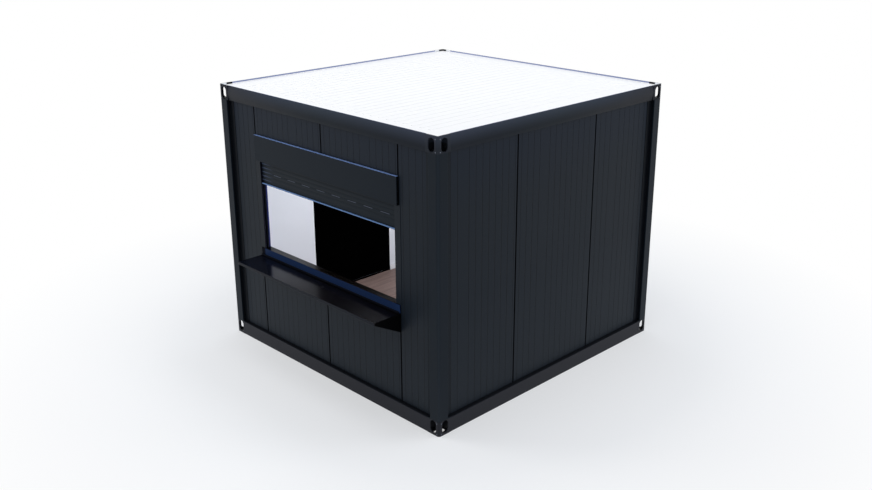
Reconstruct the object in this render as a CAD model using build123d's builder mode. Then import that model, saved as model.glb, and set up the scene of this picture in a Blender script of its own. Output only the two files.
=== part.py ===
from build123d import *
import os

os.makedirs("parts", exist_ok=True)

# Outside of the frame: the front is -Y, the ground is z = 0, the origin is the centre of the footprint
width = 3000
depth = 3000
height = 2590

# Corner castings
casting_side = 140
casting_height = 142
casting_wall = 10
corner_radius = 25
slot_width = 70
slot_height = 116
slot_centre = 73
slot_sill = 19
base_hole_width = 63.5
base_hole_length = 108

# Folded steel of the posts and rails
steel = 4
post_face = 110
recess = 40
post_flange = 60
bend_radius = 4
rail_height = 136
rail_bottom_lip = 60
rail_crown = 6

# Wall panels
panel_thickness = 60
joint_width = 16
joint_depth = 8
line_pitch = 79
line_count = 12
line_width = 6
line_depth = 1
front_line_start = -344
side_line_start = -114
module = 1000
side_module = 1060

# Floor
deck_top = 138
deck_thickness = 22
joist_width = 50
joist_count = 6
seal_inset = 10

# Roof
ceiling_thickness = 60
purlin_width = 60
purlin_count = 7
tray_drop = 17
tray_sheet = 3
rib_pitch = 100
rib_width = 30
rib_height = 3
roof_clearance = 1.5

# Serving hatch and roller shutter
hatch_sill = 1047
sill_cap = 7
guide_width = 50
guide_wall = 3
guide_lip = 20
box_drop = 420
box_height = 245
box_depth = 250
box_proud = 22
box_sheet = 3
box_end = 20
curtain_plane = 20
slat_pitch = 39
slat_thickness = 8
slat_crown = 3
slat_count = 8
curtain_hang = 227
bar_lip_depth = 14
bar_lip_height = 7
curtain_clearance = 2
slit_length = 118
slit_height = 6
slit_pitch = 217
slit_count = 8
slit_first = -712
slit_rise = 68
roll_radius = 72
roll_pin_radius = 15
roll_pin_length = 10

# Counter shelf
shelf_depth = 290
shelf_top = 967
shelf_sheet = 4
shelf_lip = 25
bracket_height = 177
bracket_plate = 8
upstand_sheet = 10

# Entrance door
door_head_drop = 390
frame_width = 50
frame_proud = 3
threshold_top = 150
leaf_thickness = 45
leaf_gap = 5
stop_width = 12
stop_depth = 12
hinge_axis_out = 10
hinge_radius = 8
hinge_pin_radius = 4
hinge_pin_clearance = 0.05
hinge_knuckle = 48
hinge_gap = 2
hinge_plate = 3
hinge_plate_width = 36
hinge_margin = 220
handle_height = 1050
handle_inset = 60
rose_radius = 26
rose_thickness = 8
neck_radius = 9
lever_stand_off = 50
lever_length = 125
lever_height = 20
lever_thickness = 12
spindle_radius = 4
spindle_clearance = 0.5

half_width = width / 2
half_depth = depth / 2
wall_half_width = half_width - recess
wall_half_depth = half_depth - recess
room_half_width = wall_half_width - panel_thickness
room_half_depth = wall_half_depth - panel_thickness
wall_bottom = casting_height
wall_top = height - casting_height
flange_end = post_face + post_flange
door_half = side_module / 2
door_unit_top = height - door_head_drop
box_top = height - box_drop
box_bottom = box_top - box_height
curtain_bottom = box_bottom - curtain_hang
tray_bottom = height - tray_drop - tray_sheet
corners = {
    "front_left": (-1, -1),
    "front_right": (1, -1),
    "back_left": (-1, 1),
    "back_right": (1, 1),
}


def at_corner(points, sides):
    """Turn points measured inwards from a corner's outer edge into plan points of the container."""
    across, along = sides
    return [(across * (half_width - x), along * (half_depth - y)) for x, y in points]


def wall_plane(side, z):
    """Plan plane on a wall's outer face: local x runs along the wall, local y runs into the room."""
    places = {
        "front": ((0, -wall_half_depth, z), (1, 0, 0)),
        "back": ((0, wall_half_depth, z), (-1, 0, 0)),
        "right": ((wall_half_width, 0, z), (0, 1, 0)),
        "left": ((-wall_half_width, 0, z), (0, -1, 0)),
    }
    origin, direction = places[side]
    return Plane(origin=origin, x_dir=direction, z_dir=(0, 0, 1))


# Corner posts: one folded sheet each, a face on both sides of the rounded corner,
# a return back to the wall and a flange that covers the panel's edge
post_outline = [
    (flange_end, recess),
    (flange_end, recess - steel),
    (post_face, recess - steel),
    (post_face, 0),
    (0, 0),
    (0, post_face),
    (recess - steel, post_face),
    (recess - steel, flange_end),
    (recess, flange_end),
    (recess, post_face - steel),
    (steel, post_face - steel),
    (steel, steel),
    (post_face - steel, steel),
    (post_face - steel, recess),
]
for corner, sides in corners.items():
    with BuildPart() as corner_post:
        with BuildSketch(Plane.XY.offset(casting_height)) as post_section:
            with BuildLine():
                Polyline(*at_corner(post_outline, sides), close=True)
            make_face()
            outer, inner = at_corner([(0, 0), (steel, steel)], sides)
            fillet(post_section.vertices().sort_by_distance((*outer, 0))[0], corner_radius)
            fillet(post_section.vertices().sort_by_distance((*inner, 0))[0], corner_radius - steel)
            for bend in at_corner([(post_face, 0), (0, post_face)], sides):
                fillet(post_section.vertices().sort_by_distance((*bend, 0))[0], bend_radius)
        extrude(amount=height - 2 * casting_height)
    corner_post.part.label = f"corner_post_{corner}"
    export_step(corner_post.part, f"parts/corner_post_{corner}.step")


def add_casting_blocks(z):
    """Add the four castings' outer blocks, each with its rounded outside edge."""
    for sides in corners.values():
        with BuildSketch(Plane.XY.offset(z)) as block:
            with BuildLine():
                square = [(0, 0), (casting_side, 0), (casting_side, casting_side), (0, casting_side)]
                Polyline(*at_corner(square, sides), close=True)
            make_face()
            edge = at_corner([(0, 0)], sides)[0]
            fillet(block.vertices().sort_by_distance((*edge, 0))[0], corner_radius)
        extrude(block.sketch, amount=casting_height)


def cut_casting_slots(z):
    """Cut the upright slot in each of the castings' outer faces, its lower end at height z."""
    for across, along in corners.values():
        slot_z = z + slot_height / 2
        end_face = Plane(
            origin=(across * (half_width - slot_centre), along * half_depth, slot_z),
            x_dir=(0, 0, 1),
            z_dir=(0, along, 0),
        )
        side_face = Plane(
            origin=(across * half_width, along * (half_depth - slot_centre), slot_z),
            x_dir=(0, 0, 1),
            z_dir=(across, 0, 0),
        )
        for face in (end_face, side_face):
            with BuildSketch(face) as slot:
                SlotOverall(slot_height, slot_width)
            extrude(slot.sketch, amount=-casting_wall, mode=Mode.SUBTRACT)


cavity = casting_side - 2 * casting_wall
cavity_centres = [at_corner([(casting_side / 2, casting_side / 2)], sides)[0] for sides in corners.values()]

# Bottom corner castings: hollow steel blocks with a slot in each outer face and one in the foot
with BuildPart() as bottom_castings:
    add_casting_blocks(0)
    with BuildSketch(Plane.XY.offset(casting_wall)):
        with Locations(*cavity_centres):
            Rectangle(cavity, cavity)
    extrude(amount=casting_height - 2 * casting_wall, mode=Mode.SUBTRACT)
    cut_casting_slots(slot_sill)
    with BuildSketch():
        with Locations(*cavity_centres):
            SlotOverall(base_hole_length, base_hole_width, rotation=90)
    extrude(amount=casting_wall, mode=Mode.SUBTRACT)
bottom_castings.part.label = "bottom_castings"
export_step(bottom_castings.part, "parts/bottom_castings.step")

# Top corner castings: open above, with low inner walls, so that the roof tray reaches over them
low_side = casting_side - casting_wall
low_centre = casting_wall + low_side / 2
low_centres = [at_corner([(low_centre, low_centre)], sides)[0] for sides in corners.values()]
with BuildPart() as top_castings:
    add_casting_blocks(wall_top)
    with BuildSketch(Plane.XY.offset(wall_top + casting_wall)):
        with Locations(*cavity_centres):
            Rectangle(cavity, cavity)
    extrude(amount=casting_height, mode=Mode.SUBTRACT)
    with BuildSketch(Plane.XY.offset(tray_bottom)):
        with Locations(*low_centres):
            Rectangle(low_side, low_side)
    extrude(amount=casting_height, mode=Mode.SUBTRACT)
    cut_casting_slots(tray_bottom - slot_height)
top_castings.part.label = "top_castings"
export_step(top_castings.part, "parts/top_castings.step")

# Rails between the castings: each starts at a casting and its profile's x axis points into the container
rail_starts = {
    "front": Plane(origin=(casting_side - half_width, -half_depth, 0), x_dir=(0, 1, 0), z_dir=(1, 0, 0)),
    "back": Plane(origin=(half_width - casting_side, half_depth, 0), x_dir=(0, -1, 0), z_dir=(-1, 0, 0)),
    "left": Plane(origin=(-half_width, half_depth - casting_side, 0), x_dir=(1, 0, 0), z_dir=(0, -1, 0)),
    "right": Plane(origin=(half_width, casting_side - half_depth, 0), x_dir=(-1, 0, 0), z_dir=(0, 1, 0)),
}
rail_lengths = {
    "front": width - 2 * casting_side,
    "back": width - 2 * casting_side,
    "left": depth - 2 * casting_side,
    "right": depth - 2 * casting_side,
}
rail_inside = recess + panel_thickness

# Bottom rails: channels with the web outside, a wide upper flange under the walls and a lower lip
for side, start in rail_starts.items():
    with BuildPart() as bottom_rail:
        with BuildSketch(start) as section:
            with BuildLine():
                Polyline(
                    (0, 0),
                    (rail_bottom_lip, 0),
                    (rail_bottom_lip, steel),
                    (steel, steel),
                    (steel, rail_height - steel),
                    (rail_inside, rail_height - steel),
                    (rail_inside, rail_height),
                    (0, rail_height),
                    close=True,
                )
            make_face()
            fillet(section.vertices().sort_by_distance((0, rail_height))[0], bend_radius)
            fillet(section.vertices().sort_by_distance((0, 0))[0], bend_radius)
        extrude(amount=rail_lengths[side])
    bottom_rail.part.label = f"bottom_rail_{side}"
    export_step(bottom_rail.part, f"parts/bottom_rail_{side}.step")

# Top rails: the outer web is rolled to a slight crown, and a flange at its foot carries the ceiling
for side, start in rail_starts.items():
    with BuildPart() as top_rail:
        with BuildSketch(start):
            with BuildLine():
                ThreePointArc((rail_crown, wall_top), (0, (wall_top + height) / 2), (rail_crown, height))
                Line((rail_crown, height), (rail_crown + steel, height))
                ThreePointArc(
                    (rail_crown + steel, height),
                    (steel, (wall_top + height) / 2),
                    (rail_crown + steel, wall_top + steel),
                )
                Polyline(
                    (rail_crown + steel, wall_top + steel),
                    (rail_inside, wall_top + steel),
                    (rail_inside, wall_top),
                    (rail_crown, wall_top),
                )
            make_face()
        extrude(amount=rail_lengths[side])
    top_rail.part.label = f"top_rail_{side}"
    export_step(top_rail.part, f"parts/top_rail_{side}.step")

# Floor: a sheet flush with the frame's underside closes it between the rails' lower lips,
# joists stand on the lips and the sheet, and the deck lies on the joists
with BuildPart() as floor_sheet:
    with BuildSketch():
        Rectangle(2 * (half_width - rail_bottom_lip), 2 * (half_depth - rail_bottom_lip))
        with Locations(*cavity_centres):
            Rectangle(casting_side, casting_side, mode=Mode.SUBTRACT)
    extrude(amount=steel)
floor_sheet.part.label = "floor_sheet"
export_step(floor_sheet.part, "parts/floor_sheet.step")

deck_bottom = deck_top - deck_thickness
joist_span = width - 2 * steel
joist_step = (depth - 2 * casting_side - joist_width) / (joist_count - 1)
with BuildPart() as floor_joists:
    with BuildSketch(Plane.XY.offset(steel)):
        with GridLocations(1, joist_step, 1, joist_count):
            Rectangle(joist_span, joist_width)
    extrude(amount=deck_bottom - steel)
floor_joists.part.label = "floor_joists"
export_step(floor_joists.part, "parts/floor_joists.step")

with BuildPart() as floor_deck:
    with BuildSketch(Plane.XY.offset(deck_bottom)):
        Rectangle(2 * room_half_width, 2 * room_half_depth)
        with Locations(*cavity_centres):
            Rectangle(casting_side, casting_side, mode=Mode.SUBTRACT)
    extrude(amount=deck_thickness)
floor_deck.part.label = "floor_deck"
export_step(floor_deck.part, "parts/floor_deck.step")

# Seal strips that the wall panels stand on, set back from their outer faces, open at the door
seal_thickness = wall_bottom - rail_height
seal_width = panel_thickness - seal_inset
seal_length_x = width - 2 * casting_side
seal_length_y = depth - 2 * casting_side
door_seal = half_depth - casting_side - door_half
with BuildPart() as wall_seals:
    with BuildSketch(Plane.XY.offset(rail_height)):
        with Locations((0, -room_half_depth - seal_width / 2), (0, room_half_depth + seal_width / 2)):
            Rectangle(seal_length_x, seal_width)
        with Locations((room_half_width + seal_width / 2, 0)):
            Rectangle(seal_width, seal_length_y)
        with Locations(
            (-room_half_width - seal_width / 2, -door_half - door_seal / 2),
            (-room_half_width - seal_width / 2, door_half + door_seal / 2),
        ):
            Rectangle(seal_width, door_seal)
    extrude(amount=seal_thickness)
wall_seals.part.label = "wall_seals"
export_step(wall_seals.part, "parts/wall_seals.step")


def wall_panel(name, side, start, end, bottom=wall_bottom, top=wall_top):
    """Make a sandwich panel between two places along a wall, with rebated joints and fine face lines."""
    first_line = front_line_start if side in ("front", "back") else side_line_start
    line_places = [
        first_line + lap * module + i * line_pitch
        for lap in range(-3, 4)
        for i in range(line_count)
    ]
    margin = joint_width + line_width
    outline = [
        (start, panel_thickness),
        (start, joint_depth),
        (start + joint_width / 2, joint_depth),
        (start + joint_width / 2, 0),
    ]
    for place in sorted(line_places):
        if start + margin < place < end - margin:
            outline += [(place - line_width / 2, 0), (place, line_depth), (place + line_width / 2, 0)]
    outline += [
        (end - joint_width / 2, 0),
        (end - joint_width / 2, joint_depth),
        (end, joint_depth),
        (end, panel_thickness),
    ]
    with BuildPart() as panel:
        with BuildSketch(wall_plane(side, bottom)):
            with BuildLine():
                Polyline(*outline, close=True)
            make_face()
        extrude(amount=top - bottom)
    panel.part.label = name
    export_step(panel.part, f"parts/{name}.step")


hatch_half = module
wall_panel("front_panel_left", "front", -wall_half_width, -hatch_half)
wall_panel("front_panel_right", "front", hatch_half, wall_half_width)
wall_panel("front_panel_lower_left", "front", -hatch_half, 0, top=hatch_sill - sill_cap)
wall_panel("front_panel_lower_right", "front", 0, hatch_half, top=hatch_sill - sill_cap)
wall_panel("front_panel_upper_left", "front", -hatch_half, 0, bottom=box_top)
wall_panel("front_panel_upper_right", "front", 0, hatch_half, bottom=box_top)
wall_panel("back_panel_1", "back", -wall_half_width, -module)
wall_panel("back_panel_2", "back", -module, 0)
wall_panel("back_panel_3", "back", 0, module)
wall_panel("back_panel_4", "back", module, wall_half_width)
wall_panel("right_panel_1", "right", -room_half_depth, -door_half)
wall_panel("right_panel_2", "right", -door_half, door_half)
wall_panel("right_panel_3", "right", door_half, room_half_depth)
wall_panel("left_panel_1", "left", -room_half_depth, -door_half)
wall_panel("left_panel_3", "left", door_half, room_half_depth)
wall_panel("left_panel_over_door", "left", -door_half, door_half, bottom=door_unit_top)

# Ceiling: an insulated panel on the top rails' flanges, cut away at the castings
ceiling_bottom = wall_top + steel
ceiling_top = ceiling_bottom + ceiling_thickness
roof_inset = rail_crown + steel + roof_clearance
with BuildPart() as ceiling_panel:
    with BuildSketch(Plane.XY.offset(ceiling_bottom)):
        Rectangle(width - 2 * roof_inset, depth - 2 * roof_inset)
        with Locations(*cavity_centres):
            corner_cut = casting_side + 2 * roof_clearance
            Rectangle(corner_cut, corner_cut, mode=Mode.SUBTRACT)
    extrude(amount=ceiling_thickness)
ceiling_panel.part.label = "ceiling_panel"
export_step(ceiling_panel.part, "parts/ceiling_panel.step")

# Roof purlins between the ceiling and the tray, clear of the castings
purlin_span = depth - 2 * casting_side - purlin_width
purlin_step = purlin_span / (purlin_count - 1)
with BuildPart() as roof_purlins:
    with BuildSketch(Plane.XY.offset(ceiling_top)):
        with GridLocations(1, purlin_step, 1, purlin_count):
            Rectangle(width - 2 * roof_inset, purlin_width)
    extrude(amount=tray_bottom - ceiling_top)
roof_purlins.part.label = "roof_purlins"
export_step(roof_purlins.part, "parts/roof_purlins.step")

# Roof tray: a white sheet with low ribs from front to back and an upstand along each rail
tray_inset = casting_wall + roof_clearance
tray_width = width - 2 * tray_inset
tray_depth = depth - 2 * tray_inset
rib_count = int((tray_width - 2 * casting_side) // rib_pitch)
upstand_x = width - 2 * casting_side
upstand_y = depth - 2 * casting_side
with BuildPart() as roof_tray:
    with BuildSketch(Plane.XY.offset(tray_bottom)):
        Rectangle(tray_width, tray_depth)
    extrude(amount=tray_sheet)
    with BuildSketch(Plane.XY.offset(tray_bottom + tray_sheet)):
        with GridLocations(rib_pitch, 1, rib_count, 1):
            Rectangle(rib_width, tray_depth - 2 * casting_side)
    extrude(amount=rib_height, taper=45)
    with BuildSketch(Plane.XY.offset(tray_bottom)):
        with Locations((0, tray_depth / 2 - tray_sheet / 2), (0, tray_sheet / 2 - tray_depth / 2)):
            Rectangle(upstand_x, tray_sheet)
        with Locations((tray_width / 2 - tray_sheet / 2, 0), (tray_sheet / 2 - tray_width / 2, 0)):
            Rectangle(tray_sheet, upstand_y)
    extrude(amount=height - tray_bottom)
roof_tray.part.label = "roof_tray"
export_step(roof_tray.part, "parts/roof_tray.step")

# Counter: one folded sheet with a front lip and an upstand against the wall below the hatch
with BuildPart() as counter_shelf:
    with BuildSketch(Plane(origin=(0, -wall_half_depth, 0), x_dir=(0, -1, 0), z_dir=(-1, 0, 0))):
        with BuildLine():
            Polyline(
                (0, shelf_top - shelf_sheet),
                (shelf_depth - shelf_sheet, shelf_top - shelf_sheet),
                (shelf_depth - shelf_sheet, shelf_top - shelf_lip),
                (shelf_depth, shelf_top - shelf_lip),
                (shelf_depth, shelf_top),
                (upstand_sheet, shelf_top),
                (upstand_sheet, hatch_sill - sill_cap),
                (0, hatch_sill - sill_cap),
                close=True,
            )
        make_face()
    extrude(amount=hatch_half, both=True)
counter_shelf.part.label = "counter_shelf"
export_step(counter_shelf.part, "parts/counter_shelf.step")

# Brackets: a triangular plate under each end of the shelf, inside its front lip
bracket_front = shelf_depth - shelf_sheet
bracket_top = shelf_top - shelf_sheet
bracket_places = [hatch_half, bracket_plate - hatch_half]
with BuildPart() as shelf_brackets:
    for place in bracket_places:
        with BuildSketch(Plane(origin=(place, -wall_half_depth, 0), x_dir=(0, -1, 0), z_dir=(-1, 0, 0))):
            with BuildLine():
                Polyline(
                    (0, shelf_top - bracket_height),
                    (0, bracket_top),
                    (bracket_front, bracket_top),
                    (bracket_front, shelf_top - shelf_lip),
                    close=True,
                )
            make_face()
        extrude(amount=bracket_plate)
shelf_brackets.part.label = "shelf_brackets"
export_step(shelf_brackets.part, "parts/shelf_brackets.step")

# Sill: a cap over the lower panels' upper edge, out to the face of the upstand
with BuildPart() as hatch_sill_cap:
    with BuildSketch(Plane.XY.offset(hatch_sill - sill_cap)):
        with Locations((0, -wall_half_depth - upstand_sheet)):
            Rectangle(2 * hatch_half, panel_thickness + upstand_sheet, align=(Align.CENTER, Align.MIN))
    extrude(amount=sill_cap)
hatch_sill_cap.part.label = "hatch_sill_cap"
export_step(hatch_sill_cap.part, "parts/hatch_sill_cap.step")

# Guide rails: a channel on each side of the opening for the curtain's ends,
# with a thin cover lip over the wall panel
curtain_back = curtain_plane + slat_thickness
channel_front = curtain_plane - slat_crown - curtain_clearance
channel_back = curtain_back + curtain_clearance
channel_depth = guide_width - box_end
with BuildPart() as shutter_guides:
    with BuildSketch(Plane.XY.offset(hatch_sill)):
        for turn in (1, -1):
            edge = turn * hatch_half
            with BuildLine():
                Polyline(
                    (edge - turn * guide_width, -wall_half_depth - guide_wall),
                    (edge + turn * guide_lip, -wall_half_depth - guide_wall),
                    (edge + turn * guide_lip, -wall_half_depth),
                    (edge, -wall_half_depth),
                    (edge, -room_half_depth),
                    (edge - turn * guide_width, -room_half_depth),
                    (edge - turn * guide_width, -wall_half_depth + channel_back),
                    (edge - turn * (guide_width - channel_depth), -wall_half_depth + channel_back),
                    (edge - turn * (guide_width - channel_depth), -wall_half_depth + channel_front),
                    (edge - turn * guide_width, -wall_half_depth + channel_front),
                    close=True,
                )
            make_face()
    extrude(amount=box_bottom - hatch_sill)
shutter_guides.part.label = "shutter_guides"
export_step(shutter_guides.part, "parts/shutter_guides.step")

# Shutter box: a closed steel housing with end plates, a slot below for the curtain and a roll inside
roll_centre_y = curtain_back + roll_radius
box_front = -wall_half_depth - box_proud
box_middle_y = box_front + box_depth / 2
curtain_half = hatch_half - guide_width + channel_depth - curtain_clearance
slot_middle_y = -wall_half_depth + (channel_front + channel_back) / 2
with BuildPart() as shutter_box:
    with BuildSketch(Plane.XY.offset(box_bottom)):
        with Locations((0, box_middle_y)):
            Rectangle(2 * hatch_half, box_depth)
    extrude(amount=box_height)
    with BuildSketch(Plane.XY.offset(box_bottom + box_sheet)):
        with Locations((0, box_middle_y)):
            Rectangle(2 * (hatch_half - box_end), box_depth - 2 * box_sheet)
    extrude(amount=box_height - 2 * box_sheet, mode=Mode.SUBTRACT)
    with BuildSketch(Plane.XY.offset(box_bottom)):
        with Locations((0, slot_middle_y)):
            Rectangle(2 * (hatch_half - box_end), channel_back - channel_front)
    extrude(amount=box_sheet, mode=Mode.SUBTRACT)
shutter_box.part.label = "shutter_box"
export_step(shutter_box.part, "parts/shutter_box.step")

# Rolled part of the curtain on its shaft, carried by the box's end plates
box_inner_half = hatch_half - box_end
roll_half = box_inner_half - roll_pin_length
roll_z = box_bottom + box_height / 2
roll_y = -wall_half_depth + roll_centre_y
with BuildPart() as shutter_roll:
    with BuildSketch(Plane(origin=(0, roll_y, roll_z), x_dir=(0, 1, 0), z_dir=(1, 0, 0))):
        Circle(roll_radius)
    extrude(amount=roll_half, both=True)
    with BuildSketch(Plane(origin=(0, roll_y, roll_z), x_dir=(0, 1, 0), z_dir=(1, 0, 0))):
        Circle(roll_pin_radius)
    extrude(amount=box_inner_half, both=True)
shutter_roll.part.label = "shutter_roll"
export_step(shutter_roll.part, "parts/shutter_roll.step")

# Curtain: crowned slats hooked into each other, with a row of light slits between two of them
slats_bottom = curtain_bottom + bar_lip_height + slat_pitch
with BuildPart() as shutter_curtain:
    with BuildSketch(Plane(origin=(0, -wall_half_depth, 0), x_dir=(0, 1, 0), z_dir=(1, 0, 0))):
        with BuildLine():
            for i in range(slat_count):
                low = slats_bottom + i * slat_pitch
                high = low + slat_pitch
                ThreePointArc(
                    (curtain_plane, low),
                    (curtain_plane - slat_crown, (low + high) / 2),
                    (curtain_plane, high),
                )
            slats_top = slats_bottom + slat_count * slat_pitch
            Polyline(
                (curtain_plane, slats_top),
                (curtain_back, slats_top),
                (curtain_back, slats_bottom),
                (curtain_plane, slats_bottom),
            )
        make_face()
    extrude(amount=curtain_half, both=True)
    slit_z = slats_bottom + slit_rise
    slit_middle = slit_first + slit_pitch * (slit_count - 1) / 2
    with BuildSketch(Plane(origin=(slit_middle, -wall_half_depth, slit_z), x_dir=(1, 0, 0), z_dir=(0, -1, 0))):
        with GridLocations(slit_pitch, 1, slit_count, 1):
            Rectangle(slit_length, slit_height)
    extrude(amount=-2 * curtain_back, mode=Mode.SUBTRACT)
shutter_curtain.part.label = "shutter_curtain"
export_step(shutter_curtain.part, "parts/shutter_curtain.step")

# Bottom bar of the curtain, with a lip along its lower edge that stands out between the guides
lip_half = hatch_half - guide_width - curtain_clearance
with BuildPart() as shutter_bottom_bar:
    with BuildSketch(Plane(origin=(0, -wall_half_depth, curtain_bottom), x_dir=(0, 1, 0), z_dir=(1, 0, 0))):
        with Locations((curtain_plane, 0)):
            Rectangle(slat_thickness, slats_bottom - curtain_bottom, align=(Align.MIN, Align.MIN))
    extrude(amount=curtain_half, both=True)
    with BuildSketch(Plane(origin=(0, -wall_half_depth, curtain_bottom), x_dir=(0, 1, 0), z_dir=(1, 0, 0))):
        with Locations((curtain_plane, 0)):
            Rectangle(bar_lip_depth, bar_lip_height, align=(Align.MAX, Align.MIN))
    extrude(amount=lip_half, both=True)
shutter_bottom_bar.part.label = "shutter_bottom_bar"
export_step(shutter_bottom_bar.part, "parts/shutter_bottom_bar.step")

# Door frame in the left wall: two jambs and a head with a stop inside, over a threshold
frame_outer_x = -wall_half_width - frame_proud
opening_half = door_half - frame_width
head_bottom = door_unit_top - frame_width
frame_depth = panel_thickness + frame_proud
stop_x = -room_half_width - stop_depth
with BuildPart() as door_frame:
    with BuildSketch(Plane.XY.offset(rail_height)):
        with Locations((frame_outer_x, 0)):
            Rectangle(frame_depth, 2 * door_half, align=(Align.MIN, Align.CENTER))
            Rectangle(frame_depth, 2 * opening_half, align=(Align.MIN, Align.CENTER), mode=Mode.SUBTRACT)
        for turn in (-1, 1):
            with Locations((stop_x, turn * (opening_half - stop_width / 2))):
                Rectangle(stop_depth, stop_width, align=(Align.MIN, Align.CENTER))
    extrude(amount=door_unit_top - rail_height)
    with BuildSketch(Plane.XY.offset(head_bottom)):
        with Locations((frame_outer_x, 0)):
            Rectangle(frame_depth, 2 * opening_half, align=(Align.MIN, Align.CENTER))
    extrude(amount=frame_width)
    with BuildSketch(Plane.XY.offset(head_bottom - stop_width)):
        with Locations((stop_x, 0)):
            Rectangle(stop_depth, 2 * opening_half, align=(Align.MIN, Align.CENTER))
    extrude(amount=stop_width)
    with BuildSketch(Plane.XY.offset(rail_height)):
        with Locations((frame_outer_x, 0)):
            Rectangle(frame_depth, 2 * opening_half, align=(Align.MIN, Align.CENTER))
    extrude(amount=threshold_top - rail_height)
door_frame.part.label = "door_frame"
export_step(door_frame.part, "parts/door_frame.step")

# Door leaf: it opens outwards and shuts against the stop, with room for its lock spindle
leaf_outer_x = stop_x - leaf_gap - leaf_thickness
leaf_half = opening_half - leaf_gap
leaf_bottom = threshold_top + leaf_gap
leaf_top = head_bottom - leaf_gap
handle_y = handle_inset - leaf_half
handle_z = deck_top + handle_height
with BuildPart() as door_leaf:
    with BuildSketch(Plane.XY.offset(leaf_bottom)):
        with Locations((leaf_outer_x, 0)):
            Rectangle(leaf_thickness, 2 * leaf_half, align=(Align.MIN, Align.CENTER))
    extrude(amount=leaf_top - leaf_bottom)
    with BuildSketch(Plane(origin=(leaf_outer_x, handle_y, handle_z), x_dir=(0, 1, 0), z_dir=(1, 0, 0))):
        Circle(spindle_radius + spindle_clearance)
    extrude(amount=leaf_thickness, mode=Mode.SUBTRACT)
door_leaf.part.label = "door_leaf"
export_step(door_leaf.part, "parts/door_leaf.step")

# Hinges: knuckles on a common pin outside the leaf, plates on the frame and on the leaf
axis_x = leaf_outer_x - hinge_axis_out
axis_y = opening_half - leaf_gap / 2
hinge_height = 2 * hinge_knuckle + hinge_gap
hinge_low = leaf_bottom + hinge_margin
hinge_high = leaf_top - hinge_margin - hinge_height
hinge_levels = [hinge_low, (hinge_low + hinge_high) / 2, hinge_high]


def hinge_plates(levels, start_y, end_y, back_x):
    """Add one plate at each level, from the knuckle's side to its far edge, lying on a face."""
    for level in levels:
        with BuildSketch(Plane.XY.offset(level)) as plate:
            with Locations((back_x - hinge_plate / 2, (start_y + end_y) / 2)):
                Rectangle(hinge_plate, abs(end_y - start_y))
        extrude(plate.sketch, amount=hinge_knuckle)


def hinge_cylinders(levels, radius, length, mode=Mode.ADD):
    """Add or cut one upright cylinder on the hinge axis at each level."""
    for level in levels:
        with BuildSketch(Plane.XY.offset(level)) as disc:
            with Locations((axis_x, axis_y)):
                Circle(radius)
        extrude(disc.sketch, amount=length, mode=mode)


upper_levels = [level + hinge_knuckle + hinge_gap for level in hinge_levels]
with BuildPart() as frame_hinges:
    hinge_cylinders(hinge_levels, hinge_radius, hinge_knuckle)
    hinge_cylinders(hinge_levels, hinge_pin_radius, hinge_height)
    hinge_plates(hinge_levels, opening_half, opening_half + hinge_plate_width, frame_outer_x)
    with BuildSketch() as webs:
        with Locations((frame_outer_x - hinge_plate, axis_y)):
            Rectangle(hinge_plate, hinge_radius, align=(Align.MIN, Align.MIN))
    for level in hinge_levels:
        extrude(webs.sketch.moved(Location((0, 0, level))), amount=hinge_knuckle)
frame_hinges.part.label = "frame_hinges"
export_step(frame_hinges.part, "parts/frame_hinges.step")

with BuildPart() as leaf_hinges:
    hinge_cylinders(upper_levels, hinge_radius, hinge_knuckle)
    hinge_plates(upper_levels, leaf_half - hinge_plate_width, leaf_half, leaf_outer_x)
    hinge_cylinders(upper_levels, hinge_pin_radius + hinge_pin_clearance, hinge_knuckle, Mode.SUBTRACT)
leaf_hinges.part.label = "leaf_hinges"
export_step(leaf_hinges.part, "parts/leaf_hinges.step")

# Lever handles: a rose, a neck and a lever on each side of the leaf, on one spindle through it
lever_middle = (lever_length - lever_height) / 2
with BuildPart() as door_handles:
    for face_x, outwards in ((leaf_outer_x, -1), (leaf_outer_x + leaf_thickness, 1)):
        with BuildSketch(Plane(origin=(face_x, handle_y, handle_z), x_dir=(0, 1, 0), z_dir=(outwards, 0, 0))):
            Circle(rose_radius)
        extrude(amount=rose_thickness)
        with BuildSketch(Plane(origin=(face_x, handle_y, handle_z), x_dir=(0, 1, 0), z_dir=(outwards, 0, 0))):
            Circle(neck_radius)
        extrude(amount=lever_stand_off)
        lever_x = face_x + outwards * (lever_stand_off - lever_thickness)
        lever_y = handle_y + lever_middle
        with BuildSketch(Plane(origin=(lever_x, lever_y, handle_z), x_dir=(0, 1, 0), z_dir=(outwards, 0, 0))):
            SlotOverall(lever_length, lever_height)
        extrude(amount=lever_thickness)
    with BuildSketch(Plane(origin=(leaf_outer_x, handle_y, handle_z), x_dir=(0, 1, 0), z_dir=(1, 0, 0))):
        Circle(spindle_radius)
    extrude(amount=leaf_thickness)
door_handles.part.label = "door_handles"
export_step(door_handles.part, "parts/door_handles.step")
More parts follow.
